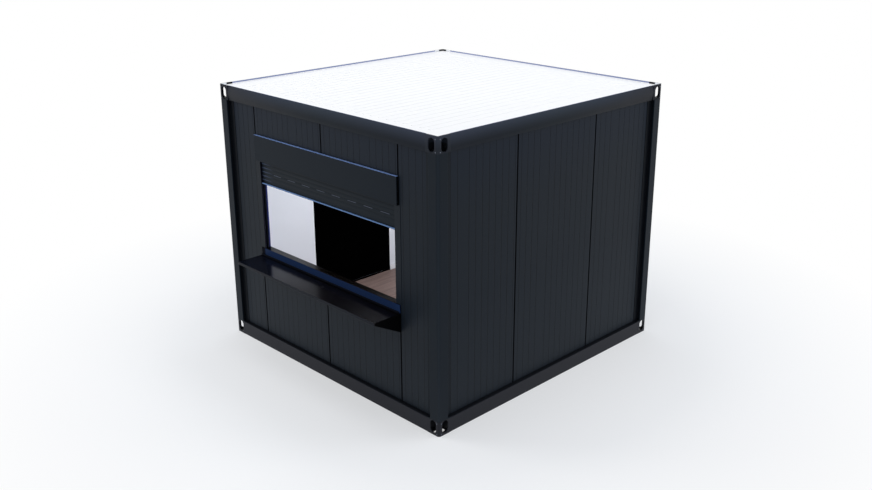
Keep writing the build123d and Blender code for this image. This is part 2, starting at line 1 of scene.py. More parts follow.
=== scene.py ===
import bmesh
import bpy
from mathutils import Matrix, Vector

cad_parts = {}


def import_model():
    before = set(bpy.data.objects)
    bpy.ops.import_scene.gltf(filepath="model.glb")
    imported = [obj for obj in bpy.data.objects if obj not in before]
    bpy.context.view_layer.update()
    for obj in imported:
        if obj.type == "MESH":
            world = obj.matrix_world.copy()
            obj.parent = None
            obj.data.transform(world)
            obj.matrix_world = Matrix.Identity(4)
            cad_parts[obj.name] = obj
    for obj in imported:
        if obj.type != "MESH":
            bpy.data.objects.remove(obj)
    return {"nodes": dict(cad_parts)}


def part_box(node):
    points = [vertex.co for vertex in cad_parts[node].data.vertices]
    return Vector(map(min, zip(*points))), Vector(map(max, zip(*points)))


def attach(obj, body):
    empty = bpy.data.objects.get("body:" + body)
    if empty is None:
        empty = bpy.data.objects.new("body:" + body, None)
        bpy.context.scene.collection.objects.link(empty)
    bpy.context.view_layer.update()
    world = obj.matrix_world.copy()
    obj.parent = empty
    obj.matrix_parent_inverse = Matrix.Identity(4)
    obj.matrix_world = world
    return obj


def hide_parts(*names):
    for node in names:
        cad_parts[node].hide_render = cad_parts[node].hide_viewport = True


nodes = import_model()["nodes"]
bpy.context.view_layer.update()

# The photograph's view: a camera 4.4 m above the ground looks down at the corner between the hatch
# wall and the plain right wall, 9.8 m away from the middle of the cabin.
camera_place = Vector((6.6687, -6.5180, 4.3610))
view_direction = Vector((-0.66856, 0.66842, -0.32593))
photo_width = 872
photo_height = 490
focal_pixels = 981.43
centre_column = 451.69
centre_row = 226.07
sensor = 36.0
camera_data = bpy.data.cameras.new("photo_view")
camera_data.sensor_fit = "HORIZONTAL"
camera_data.sensor_width = sensor
camera_data.lens = focal_pixels / photo_width * sensor
camera_data.shift_x = (photo_width / 2 - centre_column) / photo_width
camera_data.shift_y = (centre_row - photo_height / 2) / photo_width
camera_data.clip_end = 200.0
camera = bpy.data.objects.new("photo_view", camera_data)
camera.location = camera_place
camera.rotation_euler = view_direction.to_track_quat("-Z", "Y").to_euler()
bpy.context.scene.collection.objects.link(camera)
bpy.context.scene.camera = camera
bpy.context.scene.view_settings.view_transform = "Standard"

# Studio: white all round for the eye and for gloss, with a cooler, softer sky for the light that
# falls on the cabin. The floor fades into the white and keeps the cabin's shadow near it. Large
# soft lamps hang to its left and right, over it and under its ceiling.


class Value:
    """A socket in a sum: arithmetic on it adds Math nodes to its material."""

    def __init__(self, finish, socket):
        self.finish = finish
        self.socket = socket

    def math(self, operation, first, second=0.0):
        return self.finish.node("ShaderNodeMath", {"operation": operation}, {0: first, 1: second})

    def __add__(self, other):
        return self.math("ADD", self, other)

    def __sub__(self, other):
        return self.math("SUBTRACT", self, other)

    def __mul__(self, other):
        return self.math("MULTIPLY", self, other)

    def __truediv__(self, other):
        return self.math("DIVIDE", self, other)

    def __rsub__(self, other):
        return self.math("SUBTRACT", other, self)

    def __rtruediv__(self, other):
        return self.math("DIVIDE", other, self)

    __radd__ = __add__
    __rmul__ = __mul__

    def size(self):
        return self.math("ABSOLUTE", self)

    def most(self, other):
        return self.math("MAXIMUM", self, other)

    def least(self, other):
        return self.math("MINIMUM", self, other)

    def root(self):
        return self.math("SQRT", self)

    def whole(self):
        return self.math("FLOOR", self)

    def clamp(self):
        return self.most(0.0).least(1.0)

    def above(self, edge, blur):
        """0 below the edge and 1 above it, over a width of blur."""
        return ((self - edge) / blur + 0.5).clamp()

    def repeat(self, step):
        """The value's place within its step, from 0 to the step."""
        return self.math("FLOORED_MODULO", self, step)


class Finish:
    """A material whose nodes are written as calls: node() adds any node and gives its output."""

    def __init__(self, name, tree=None):
        if tree is None:
            self.material = bpy.data.materials.new(name)
            self.material.use_nodes = True
            tree = self.material.node_tree
        self.tree = tree
        self.tree.nodes.clear()

    def node(self, kind, settings, inputs, output=0):
        made = self.tree.nodes.new(kind)
        for key, setting in settings.items():
            if key == "stops":
                ramp = made.color_ramp
                while len(ramp.elements) < len(setting):
                    ramp.elements.new(1.0)
                for element, (place, colour) in zip(ramp.elements, setting):
                    element.position = place
                    element.color = (*colour, 1.0)
            else:
                setattr(made, key, setting)
        for key, given in inputs.items():
            if isinstance(given, Value):
                self.tree.links.new(given.socket, made.inputs[key])
            else:
                made.inputs[key].default_value = given
        return made if output is None else Value(self, made.outputs[output])

    def place(self):
        """Object coordinates."""
        return self.node("ShaderNodeTexCoord", {}, {}, "Object")

    def axes(self, vector):
        """The vector's x, y and z."""
        return [self.node("ShaderNodeSeparateXYZ", {}, {0: vector}, axis) for axis in range(3)]

    def rays(self, *kinds):
        """1 where a ray is of one of these kinds."""
        seen = [self.node("ShaderNodeLightPath", {}, {}, f"Is {kind} Ray") for kind in kinds]
        return sum(seen[1:], seen[0]).clamp()

    def scaled(self, vector, factors):
        return self.node("ShaderNodeVectorMath", {"operation": "MULTIPLY"}, {0: vector, 1: factors})

    def noise(self, vector, scale, detail=3.0, roughness=0.5):
        sockets = {"Vector": vector, "Scale": scale, "Detail": detail, "Roughness": roughness}
        return self.node("ShaderNodeTexNoise", {}, sockets)

    def mix(self, factor, low, high):
        """A colour between two, each given as three numbers or as a socket."""
        ends = [end if isinstance(end, Value) else (*end, 1.0) for end in (low, high)]
        return self.node("ShaderNodeMix", {"data_type": "RGBA"}, {0: factor, 6: ends[0], 7: ends[1]}, 2)

    def add(self, colour, factor, more):
        """A colour with more of another added to it."""
        inputs = {0: factor, 6: colour, 7: more if isinstance(more, Value) else (*more, 1.0)}
        return self.node("ShaderNodeMix", {"data_type": "RGBA", "blend_type": "ADD"}, inputs, 2)

    def bump(self, height, strength, distance):
        sockets = {"Height": height, "Strength": strength, "Distance": distance}
        return self.node("ShaderNodeBump", {}, sockets)

    def surface(self, **sockets):
        """Finish with the principled shader; sockets are named with _ for a space."""
        named = {}
        for key, given in sockets.items():
            socket = key.replace("_", " ").title().replace("Ior", "IOR")
            named[socket] = (*given, 1.0) if isinstance(given, tuple) and len(given) == 3 else given
        shader = self.node("ShaderNodeBsdfPrincipled", {}, named)
        self.node("ShaderNodeOutputMaterial", {}, {"Surface": shader}, None)
        return self.material


sky_light = (0.80, 0.88, 1.0, 1.0)
sky_strength = 0.56
full_white = (1.0, 1.0, 1.0, 1.0)
world = bpy.data.worlds.new("studio")
world.use_nodes = True
bpy.context.scene.world = world
studio = Finish("studio", world.node_tree)
white_seen = studio.rays("Camera", "Glossy", "Transmission")
white = studio.node("ShaderNodeBackground", {}, {"Color": full_white, "Strength": 1.0})
sky = studio.node("ShaderNodeBackground", {}, {"Color": sky_light, "Strength": sky_strength})
shown = studio.node("ShaderNodeMixShader", {}, {0: white_seen, 1: sky, 2: white})
studio.node("ShaderNodeOutputWorld", {}, {"Surface": shown}, None)

floor_size = 60.0
floor_pale = (0.93, 0.93, 0.93, 1.0)
floor_shade = 0.55
shade_reach = 2.6
shade_fade = 2.4
floor_mesh = bpy.data.meshes.new("studio_floor")
floor_grid = bmesh.new()
bmesh.ops.create_grid(floor_grid, x_segments=1, y_segments=1, size=floor_size / 2)
floor_grid.to_mesh(floor_mesh)
floor_grid.free()
studio_floor = bpy.data.objects.new("studio_floor", floor_mesh)
bpy.context.scene.collection.objects.link(studio_floor)
pale_floor = Finish("pale_floor")
floor_x, floor_y = pale_floor.axes(pale_floor.place())[:2]
floor_reach = (floor_x * floor_x + floor_y * floor_y).root()
floor_keep = 1.0 - floor_reach.above(shade_reach + shade_fade / 2, shade_fade)
floor_paint = pale_floor.node("ShaderNodeBsdfDiffuse", {}, {"Color": floor_pale})
floor_white = pale_floor.node("ShaderNodeEmission", {}, {"Color": full_white, "Strength": 1.0})
floor_mix = pale_floor.rays("Camera", "Glossy") * (1.0 - floor_keep * floor_shade)
floor_shown = pale_floor.node("ShaderNodeMixShader", {}, {0: floor_mix, 1: floor_paint, 2: floor_white})
pale_floor.node("ShaderNodeOutputMaterial", {}, {"Surface": floor_shown}, None)
floor_mesh.materials.append(pale_floor.material)

lamps = {
    "left": ((-8.5, -6.5, 5.5), 5.0, 430.0, (1.0, 0.99, 0.98), (0.0, 0.0, 1.2)),
    "right": ((8.0, 7.5, 5.5), 5.0, 380.0, (0.97, 0.98, 1.0), (0.0, 0.0, 1.2)),
    "top": ((0.0, 0.0, 10.0), 6.0, 250.0, (1.0, 1.0, 1.0), (0.0, 0.0, 0.0)),
    "room": ((0.1, 0.1, 2.40), 2.2, 50.5, (0.95, 0.965, 0.99), (0.1, 0.1, 0.0)),
}
for name, (lamp_place, lamp_size, watts, tint, lamp_aim) in lamps.items():
    lamp_data = bpy.data.lights.new(f"studio_{name}", "AREA")
    lamp_data.size = lamp_size
    lamp_data.energy = watts
    lamp_data.color = tint
    lamp = bpy.data.objects.new(f"studio_{name}", lamp_data)
    lamp.location = lamp_place
    lamp.rotation_euler = (Vector(lamp_aim) - Vector(lamp_place)).to_track_quat("-Z", "Y").to_euler()
    lamp.visible_camera = False
    lamp.visible_glossy = False
    bpy.context.scene.collection.objects.link(lamp)

# Corner posts: each is one folded sheet of 4 mm steel with a rounded outside edge and flanges that
# cover the wall panels. They are stitched to cast corner blocks, above and below, with fillet welds.
frame_face = -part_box("bottom_castings")[0].y
frame_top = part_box("top_castings")[1].z
casting_end = 0.144
hard_edge = 0.001
frame_paint = Finish("frame_paint")
frame_vector = frame_paint.place()
frame_x, frame_y, frame_z = frame_paint.axes(frame_vector)
frame_near = frame_x.size().least(frame_y.size())
frame_depth = frame_face - frame_x.size().most(frame_y.size())
frame_cloud = frame_paint.noise(frame_vector, 1.7, 4.0, 0.6)
frame_grain = frame_paint.noise(frame_vector, 420.0, 2.0)
frame_scuffs = frame_paint.noise(frame_paint.scaled(frame_vector, (9.0, 9.0, 2.0)), 3.0, 6.0, 0.7)
frame_scuffs = frame_scuffs.above(0.68, 0.08)
frame_colour = frame_paint.mix(frame_cloud, (0.0034, 0.0074, 0.0126), (0.0056, 0.0098, 0.0156))

# Painted light: the upper rails are paler towards the front right and back left corners and darker
# towards the other two, with a painted highlight towards their top edge.
rail_drop = 0.110
rail_bend = 1.25
block_start = 0.1395
block_highlight_loss = 0.40
rail_light_stops = (
    (0.0, (0.0130, 0.0160, 0.0220)),
    (0.5, (0.0058, 0.0095, 0.0145)),
    (1.0, (0.0012, 0.0025, 0.0070)),
)
rail_top_light_stops = (
    (0.0, (0.0480, 0.0560, 0.0800)),
    (0.5, (0.0332, 0.0435, 0.0600)),
    (0.72, (0.0180, 0.0280, 0.0480)),
    (1.0, (0.0040, 0.0050, 0.0120)),
)
rail_way = 1.0 - (frame_y - frame_x).size() / (2 * frame_face)
rail_painted_light = frame_paint.node("ShaderNodeValToRGB", {"stops": rail_light_stops}, {0: rail_way})
frame_colour = frame_paint.mix(frame_z.above(frame_top - casting_end, 0.002), frame_colour, rail_painted_light)
top_painted_light = frame_paint.node("ShaderNodeValToRGB", {"stops": rail_top_light_stops}, {0: rail_way})
rail_top_highlight = ((frame_z - frame_top + rail_drop) / rail_drop).clamp()
block_highlight_cut = block_highlight_loss * frame_near.above(frame_face - block_start, hard_edge)
rail_top_highlight = rail_top_highlight.math("POWER", rail_top_highlight, rail_bend) * (1.0 - block_highlight_cut)
frame_colour = frame_paint.mix(rail_top_highlight, frame_colour, top_painted_light)

# Painted light: a painted highlight along the posts' folded edge, painted light from the floor on
# the lower castings and rails, and small painted highlights beside the slots of each block.
fold_depth = 0.0073
fold_reach = 0.024
fold_end = 0.0085
corner_curve = (frame_depth / fold_depth).clamp()
fold_highlight = frame_near.above(frame_face - fold_reach, 0.004) * corner_curve.root()
fold_highlight = fold_highlight * (1.0 - frame_depth.above(fold_end, hard_edge))
frame_colour = frame_paint.add(frame_colour, fold_highlight, (0.0110, 0.0130, 0.0150))
# Painted light from the floor: the castings and rails below 0.137 m are paler.
frame_foot_light = 1.0 - frame_z.above(0.137, 0.010)
frame_colour = frame_paint.mix(frame_foot_light, frame_colour, (0.0230, 0.0235, 0.0285))
# Painted highlights: small pale spots beside the slots of each block.
spot_levels = (0.015, 0.118, frame_top - 0.130, frame_top - 0.027)
spot_inset = 0.0275
spot_radius = 0.0050
spot_rise = (frame_z - spot_levels[0]).size()
for spot_level in spot_levels[1:]:
    spot_rise = spot_rise.least((frame_z - spot_level).size())
spot_side = frame_near - frame_face + spot_inset
spot_reach = (spot_side * spot_side + spot_rise * spot_rise).root()
spot_highlight = (1.0 - spot_reach.above(spot_radius, 0.0012)) * (1.0 - frame_depth.above(0.002, hard_edge))
frame_colour = frame_paint.mix(spot_highlight, frame_colour, (0.150, 0.165, 0.200))
frame_colour = frame_paint.mix(frame_scuffs * 0.20, frame_colour, (0.030, 0.032, 0.036))

# Painted light from the floor on the lower half of the posts, and painted shade on the returns behind the
# frame's face.
recess_start = 0.011
recess_top = frame_top - 0.080
frame_upright = frame_z.above(casting_end, 0.002) * (1.0 - frame_z.above(frame_top - casting_end, 0.002))
post_floor_light = frame_upright * (1.0 - frame_z.above(0.45, 0.80))
frame_colour = frame_paint.add(frame_colour, post_floor_light, (0.0030, 0.0030, 0.0030))
# Painted shade on the returns behind the frame's face, weaker on the posts at the front right and back left.
frame_recess_shade = frame_depth.above(recess_start, 0.004) * (1.0 - frame_z.above(recess_top, 0.010))
frame_recess_shade = frame_recess_shade * (0.80 - 0.64 * frame_upright * (1.0 - rail_way))
frame_colour = frame_paint.mix(frame_recess_shade, frame_colour, (0.0030, 0.0036, 0.0052))

# Inside the rim, the upper castings' low walls carry a painted reflection, white for a stretch, and
# painted shade, nearly black, for the rest. The dark part lies away from the corner, or next to it on the
# back left casting.
cup_drop = 0.0160
cup_rim = 0.0095
cup_zone = frame_z.above(frame_top - cup_drop, 0.001) * frame_depth.above(cup_rim, 0.0004)
cup_reach = frame_face - 0.010 - frame_near
cup_far = (frame_y - frame_x).above(2.0, 0.5)
cup_painted_shade = cup_far * (1.0 - cup_reach.above(0.058, 0.012)) + (1.0 - cup_far) * cup_reach.above(0.066, 0.010)
cup_painted_light = frame_paint.mix(cup_painted_shade.clamp(), (0.90, 0.91, 0.93), (0.0020, 0.0030, 0.0060))
frame_colour = frame_paint.mix(cup_zone, frame_colour, cup_painted_light)
frame_steel = frame_paint.surface(
    base_color=frame_colour,
    roughness=0.40 + frame_cloud * 0.14 + frame_scuffs * 0.12,
    specular_ior_level=0.11,
    normal=frame_paint.bump(frame_grain, 0.12, 0.0006),
)
posts = [name for name in nodes if name.startswith("corner_post")]


def soften(names, body, radius, material):
    """Show each CAD node as a copy whose sharp edges are broken by a narrow rounded bevel."""
    for name in names:
        shape = bmesh.new()
        shape.from_mesh(nodes[name].data)
        bmesh.ops.remove_doubles(shape, verts=shape.verts, dist=0.00002)
        bmesh.ops.dissolve_limit(shape, angle_limit=0.02, verts=shape.verts, edges=shape.edges)
        mesh = bpy.data.meshes.new(f"{name}_rounded")
        shape.to_mesh(mesh)
        shape.free()
        piece = bpy.data.objects.new(f"{name}_rounded", mesh)
        bpy.context.scene.collection.objects.link(piece)
        bevel = piece.modifiers.new("broken_edges", "BEVEL")
        bevel.width = radius
        bevel.segments = 2
        bevel.limit_method = "ANGLE"
        bevel.angle_limit = 0.7
        bevel.miter_outer = "MITER_ARC"
        rounded = bpy.data.meshes.new_from_object(piece.evaluated_get(bpy.context.evaluated_depsgraph_get()))
        piece.modifiers.clear()
        piece.data = rounded
        rounded.materials.clear()
        rounded.materials.append(material)
        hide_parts(name)
        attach(piece, body)


soften(posts + ["bottom_castings", "top_castings"], "root", 0.0012, frame_steel)

# Weld beads: short ripples of weld metal along the inner corners between the castings, the posts'
# returns and the bottom rails, under the same paint as the frame.


class Layout(Finish):
    """A Geometry Nodes tree on points and edges: sizes are its named inputs, grow() makes the mesh."""

    def __init__(self, name, sizes):
        self.name = name
        self.sizes = sizes
        super().__init__(name, bpy.data.node_groups.new(name, "GeometryNodeTree"))
        self.tree.interface.new_socket("Path", in_out="INPUT", socket_type="NodeSocketGeometry")
        for key, size in sizes.items():
            kind = "NodeSocketInt" if isinstance(size, int) else "NodeSocketFloat"
            self.tree.interface.new_socket(key, in_out="INPUT", socket_type=kind)
        self.tree.interface.new_socket("Result", in_out="OUTPUT", socket_type="NodeSocketGeometry")
        entry = self.tree.nodes.new("NodeGroupInput")
        self.path = Value(self, entry.outputs["Path"])
        self.size = {key: Value(self, entry.outputs[key]) for key in sizes}

    def vector(self, x, y, z):
        return self.node("ShaderNodeCombineXYZ", {}, {0: x, 1: y, 2: z})

    def join(self, *parts):
        joined = self.node("GeometryNodeJoinGeometry", {}, {}, None)
        for part in parts:
            self.tree.links.new(part.socket, joined.inputs[0])
        return Value(self, joined.outputs[0])

    def heads(self, shape):
        """Put the shape at the start of each edge, with its Z axis along the edge."""
        curve = self.node("GeometryNodeMeshToCurve", {}, {0: self.path})
        starts = self.node("GeometryNodeCurveToPoints", {"mode": "COUNT"}, {"Curve": curve, "Count": 1}, None)
        return self.node(
            "GeometryNodeInstanceOnPoints",
            {},
            {
                "Points": Value(self, starts.outputs["Points"]),
                "Instance": shape,
                "Rotation": Value(self, starts.outputs["Rotation"]),
            },
        )

    def grow(self, result, material, points, edges, slot, body="root"):
        """Run the tree, keep its result as one plain mesh, and give the piece its body. The slot is not used.
        """
        real = self.node("GeometryNodeRealizeInstances", {}, {0: result})
        painted = self.node("GeometryNodeSetMaterial", {}, {"Geometry": real, "Material": material})
        self.node("NodeGroupOutput", {}, {0: painted}, None)
        path_mesh = bpy.data.meshes.new(self.name)
        path_mesh.from_pydata(points, edges, [])
        piece = bpy.data.objects.new(self.name, path_mesh)
        bpy.context.scene.collection.objects.link(piece)
        layout = piece.modifiers.new("layout", "NODES")
        layout.node_group = self.tree
        for socket in self.tree.interface.items_tree:
            if socket.name in self.sizes:
                layout[socket.identifier] = self.sizes[socket.name]
        grown = bpy.data.meshes.new_from_object(piece.evaluated_get(bpy.context.evaluated_depsgraph_get()))
        piece.modifiers.clear()
        piece.data = grown
        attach(piece, body)
        return piece


corner_signs = [(across, along) for across in (-1, 1) for along in (-1, 1)]
post_run = [(0.1115, 0.003), (0.1115, 0.0345), (0.139, 0.0345)]
post_levels = (0.1435, frame_top - 0.1435)
rail_run = [(0.1415, 0.004), (0.1415, 0.040)]
rail_level = 0.1372
weld_points = []
weld_edges = []
for across, along in corner_signs:
    for run, z in ((post_run, post_levels[0]), (post_run, post_levels[1]), (rail_run, rail_level)):
        for turned in (False, True):
            weld_edges += [(len(weld_points) + i, len(weld_points) + i + 1) for i in range(len(run) - 1)]
            for first, second in run:
                x, y = (second, first) if turned else (first, second)
                weld_points.append((across * (frame_face - x), along * (frame_face - y), z))
welds = Layout("weld_beads", {"Ripple Pitch": 0.0030, "Bead Radius": 0.0030})
weld_curve = welds.node("GeometryNodeMeshToCurve", {}, {0: welds.path})
weld_steps = {"Curve": weld_curve, "Length": welds.size["Ripple Pitch"]}
weld_run = welds.node("GeometryNodeResampleCurve", {"mode": "LENGTH"}, weld_steps)
weld_ball = {"Radius": welds.size["Bead Radius"], "Subdivisions": 2}
weld_ripple = welds.node("GeometryNodeMeshIcoSphere", {}, weld_ball)
weld_line = welds.node("GeometryNodeInstanceOnPoints", {}, {"Points": weld_run, "Instance": weld_ripple})
welds.grow(weld_line, frame_steel, weld_points, weld_edges, "frame_steel")

# Rails: cold-rolled channels between the castings; the upper ones have a slight crown and a ledge
# for the ceiling, the lower ones a wide ledge under the walls.
rails = [name for name in nodes if name.startswith(("bottom_rail", "top_rail"))]
soften(rails, "root", 0.0010, frame_steel)

# Wall panels: sandwich panels with steel skins, anthracite outside and white inside. The outside
# has fine rolled lines and deep joints, which painted shade makes darker than the flat skin.
wall_low, wall_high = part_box("front_panel_left")
wall_face = -wall_low.y
room_face = -wall_high.y
line_depth = 0.0007
joint_depth = 0.005


def dress(names, material):
    """Give CAD nodes their finish."""
    for name in names:
        mesh = nodes[name].data
        mesh.materials.clear()
        mesh.materials.append(material)


panel_paint = Finish("panel_paint")
panel_vector = panel_paint.place()
panel_x, panel_y, panel_z = panel_paint.axes(panel_vector)
panel_reach = panel_x.size().most(panel_y.size())
line_shade = ((wall_face - panel_reach) / line_depth).clamp()
joint_shade = ((wall_face - panel_reach) / joint_depth).clamp()
room_side = 1.0 - panel_reach.above(room_face + 0.0008, 0.0008)
panel_cloud = panel_paint.noise(panel_paint.scaled(panel_vector, (1.0, 1.0, 0.35)), 1.3, 4.0, 0.55)
panel_grain = panel_paint.noise(panel_vector, 500.0, 2.0)
outside = panel_paint.mix(panel_cloud, (0.0062, 0.0102, 0.0158), (0.0088, 0.0130, 0.0190))
outside = panel_paint.mix(line_shade * 0.95, outside, (0.0004, 0.0006, 0.0010))
outside = panel_paint.mix(joint_shade, outside, (0.0004, 0.0004, 0.0005))
# Painted light from the floor: the outside is paler towards its foot, except in the joints.
panel_floor_light = (1.0 - panel_z.above(0.60, 1.1)) * (1.0 - joint_shade)
outside = panel_paint.add(outside, panel_floor_light, (0.0067, 0.0070, 0.0073))
# Painted light from the sky: the outside turns bluer towards its top.
panel_sky_light = panel_z.above(2.15, 0.5) * (1.0 - joint_shade)
outside = panel_paint.add(outside, panel_sky_light, (0.0, 0.0006, 0.0036))
# Painted shade: the inside is darker towards the back.
back_shade = panel_y.above(0.9, 1.0) * 0.20
inside = panel_paint.mix(panel_cloud, (0.785, 0.805, 0.850), (0.815, 0.835, 0.875))
inside = panel_paint.mix(back_shade, inside, (0.10, 0.12, 0.16))
panel_skin = panel_paint.surface(
    base_color=panel_paint.mix(room_side, outside, inside),
    roughness=0.42 + panel_cloud * 0.10,
    specular_ior_level=0.11,
    normal=panel_paint.bump(panel_grain, 0.10, 0.0005),
)
panels = [name for name in nodes if "_panel_" in name and name != "ceiling_panel"]
dress(panels, panel_skin)

# Joint gaskets: a round rubber cord pressed into the foot of each open joint between two panels,
# and seal strips of the same rubber that the panels stand on.


def plain(name, scale, low, high, **sockets):
    """A material whose colour drifts between two, with the same gloss all over."""
    finish = Finish(name)
    colour = finish.mix(finish.noise(finish.place(), scale), low, high)
    return finish.surface(base_color=colour, **sockets)


def cord(layout, part):
    """A round cord along the layout's path; its radius and its sides are the part's inputs."""
    curve = layout.node("GeometryNodeMeshToCurve", {}, {0: layout.path})
    sizes = {"Resolution": layout.size[f"{part} Sides"], "Radius": layout.size[f"{part} Radius"]}
    ring = layout.node("GeometryNodeCurvePrimitiveCircle", {"mode": "RADIUS"}, sizes)
    form = {"Curve": curve, "Profile Curve": ring, "Fill Caps": True}
    return layout.node("GeometryNodeCurveToMesh", {}, form)


rubber_low = (0.0012, 0.0012, 0.0014)
rubber_high = (0.0030, 0.0030, 0.0033)
rubber_black = plain("seal_rubber", 300.0, rubber_low, rubber_high, roughness=0.85, specular_ior_level=0.05)
dress(["wall_seals"], rubber_black)
gasket_depth = 0.0062
gasket_radius = 0.0028
gasket_end = 0.001
corner_start = 1.3
joint_spans = {}
for name in panels:
    low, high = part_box(name)
    wall = name.split("_")[0]
    along = 0 if wall in ("front", "back") else 1
    place = wall_face - gasket_depth
    for end in (low, high):
        if abs(end[along]) < corner_start:
            spot = [0.0, 0.0]
            spot[along] = round(end[along], 4)
            spot[1 - along] = place if wall in ("back", "right") else -place
            joint_spans.setdefault(tuple(spot), set()).add((round(low.z, 3), round(high.z, 3)))
joint_runs = []
for spot, spans in sorted(joint_spans.items()):
    for low_z, high_z in sorted(spans):
        around = [span for span in spans if span[0] <= low_z and high_z <= span[1]]
        if around == [(low_z, high_z)]:
            joint_runs.append((*spot, low_z, high_z))
gaskets = Layout("joint_gaskets", {"Cord Radius": gasket_radius, "Cord Sides": 10})
gaskets.grow(
    cord(gaskets, "Cord"),
    rubber_black,
    [(x, y, z) for x, y, low_z, high_z in joint_runs for z in (low_z + gasket_end, high_z - gasket_end)],
    [(2 * i, 2 * i + 1) for i in range(len(joint_runs))],
    "seal_rubber",
)

# Floor: oak-look planks from front to back, laid on a board that rests on galvanised steel joists.
# A galvanised sheet under the joists closes it, and the purlins and the shutter's roll are like it.
plank_width = 0.19
plank_length = 1.2
stagger = 0.618
planks = Finish("floor_planks")
plank_vector = planks.place()
plank_x, plank_y = planks.axes(plank_vector)[:2]
plank_row = (plank_x / plank_width).whole()
plank_shift = plank_row.math("FRACT", plank_row * stagger) * plank_length
plank_end = (plank_y + plank_shift).repeat(plank_length)
plank_number = ((plank_y + plank_shift) / plank_length).whole()
plank_key = planks.node("ShaderNodeCombineXYZ", {}, {0: plank_row, 1: plank_number})
plank_tone = planks.node("ShaderNodeTexWhiteNoise", {"noise_dimensions": "2D"}, {"Vector": plank_key})
plank_seam = 1.0 - plank_x.repeat(plank_width).least(plank_end).above(0.003, 0.002)
plank_grain = planks.noise(planks.scaled(plank_vector, (22.0, 1.4, 1.0)), 2.2, 8.0, 0.62)
plank_streaks = planks.noise(planks.scaled(plank_vector, (60.0, 2.5, 1.0)), 3.0, 4.0, 0.6)
plank_colour = planks.mix(plank_grain.above(0.5, 0.5), (0.100, 0.064, 0.054), (0.262, 0.190, 0.170))
plank_colour = planks.mix(plank_tone * 0.30, plank_colour, (0.19, 0.13, 0.11))
plank_colour = planks.mix(plank_streaks.above(0.62, 0.12) * 0.30, plank_colour, (0.14, 0.09, 0.07))
plank_colour = planks.mix(plank_seam, plank_colour, (0.05, 0.035, 0.028))
plank_wood = planks.surface(
    base_color=plank_colour,
    roughness=0.48 + plank_grain * 0.14,
    specular_ior_level=0.3,
    normal=planks.bump(plank_grain - plank_seam, 0.25, 0.001),
)
dress(["floor_deck"], plank_wood)
zinc = Finish("galvanised_steel")
zinc_vector = zinc.place()
zinc_cells = zinc.node("ShaderNodeTexVoronoi", {}, {"Vector": zinc_vector, "Scale": 55.0}, "Distance")
zinc_cloud = zinc.noise(zinc_vector, 3.0, 4.0)
zinc_colour = zinc.mix(zinc_cells * 0.6 + zinc_cloud * 0.4, (0.40, 0.42, 0.44), (0.60, 0.62, 0.64))
zinc_steel = zinc.surface(base_color=zinc_colour, metallic=0.85, roughness=0.42 + zinc_cloud * 0.16)
dress(["floor_joists", "floor_sheet", "roof_purlins", "shutter_roll"], zinc_steel)

# Room trims: a white folded angle in each upright corner of the room and a low skirting round the
# deck, both clipped over the panels' inner skins. The skirting stops at the door frame.
trim_leg = 0.030
trim_sheet = 0.0015
skirting_height = 0.060
skirting_sheet = 0.010
deck_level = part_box("floor_deck")[1].z
ceiling_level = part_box("ceiling_panel")[0].z
door_low, door_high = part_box("door_frame")
trim_low = (0.78, 0.79, 0.82)
trim_high = (0.82, 0.83, 0.86)
trim_white = plain("trim_white", 3.0, trim_low, trim_high, roughness=0.45, specular_ior_level=0.3)


def plates(name, boxes, radius, material, body="root"):
    """Make one piece of straight plates, each given by two opposite corners, with rounded edges."""
    shape = bmesh.new()
    for low, high in boxes:
        size = [abs(b - a) for a, b in zip(low, high)]
        middle = [(a + b) / 2 for a, b in zip(low, high)]
        corners = bmesh.ops.create_cube(shape, size=1.0)["verts"]
        for corner in corners:
            corner.co = Vector([c + s * v for c, s, v in zip(middle, size, corner.co)])
        edges = list({edge for corner in corners for edge in corner.link_edges})
        offset = min(radius, 0.45 * min(size))
        bmesh.ops.bevel(shape, geom=edges, offset=offset, segments=2, profile=0.5, affect="EDGES")
    mesh = bpy.data.meshes.new(name)
    shape.to_mesh(mesh)
    shape.free()
    mesh.materials.append(material)
    piece = bpy.data.objects.new(name, mesh)
    bpy.context.scene.collection.objects.link(piece)
    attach(piece, body)
    return piece


trim_boxes = []
trim_floor = wall_low.z + 0.001
trim_top = ceiling_level - 0.002
for across, along in corner_signs:
    x, y = across * room_face, along * room_face
    trim_boxes.append(((x - across * trim_leg, y, trim_floor), (x, y - along * trim_sheet, trim_top)))
    trim_boxes.append(((x, y - along * trim_leg, trim_floor), (x - across * trim_sheet, y, trim_top)))
plates("corner_trims", trim_boxes, 0.0006, trim_white)
skirting_top = deck_level + skirting_height
inner = room_face
plates(
    "skirting",
    [
        ((-inner, -inner, deck_level), (inner, -inner + skirting_sheet, skirting_top)),
        ((-inner, inner, deck_level), (inner, inner - skirting_sheet, skirting_top)),
        ((inner, -inner, deck_level), (inner - skirting_sheet, inner, skirting_top)),
        ((-inner, -inner, deck_level), (-inner + skirting_sheet, door_low.y, skirting_top)),
        ((-inner, door_high.y, deck_level), (-inner + skirting_sheet, inner, skirting_top)),
    ],
    0.003,
    trim_white,
)

# Roof: a white coated sheet with low ribs in a tray of upstands, held along its edges by blind
# rivets, and the white underside of the ceiling panel.
tray_low, tray_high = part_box("roof_tray")
upstand_start = 0.0072
roof_paint = Finish("roof_white")
roof_vector = roof_paint.place()
roof_z = roof_paint.axes(roof_vector)[2]
roof_cloud = roof_paint.noise(roof_vector, 1.1, 5.0, 0.6)
roof_dust = roof_paint.noise(roof_vector, 14.0, 6.0, 0.7)
roof_colour = roof_paint.mix(roof_cloud * 0.7 + roof_dust * 0.3, (0.968, 0.948, 0.925), (0.988, 0.968, 0.943))
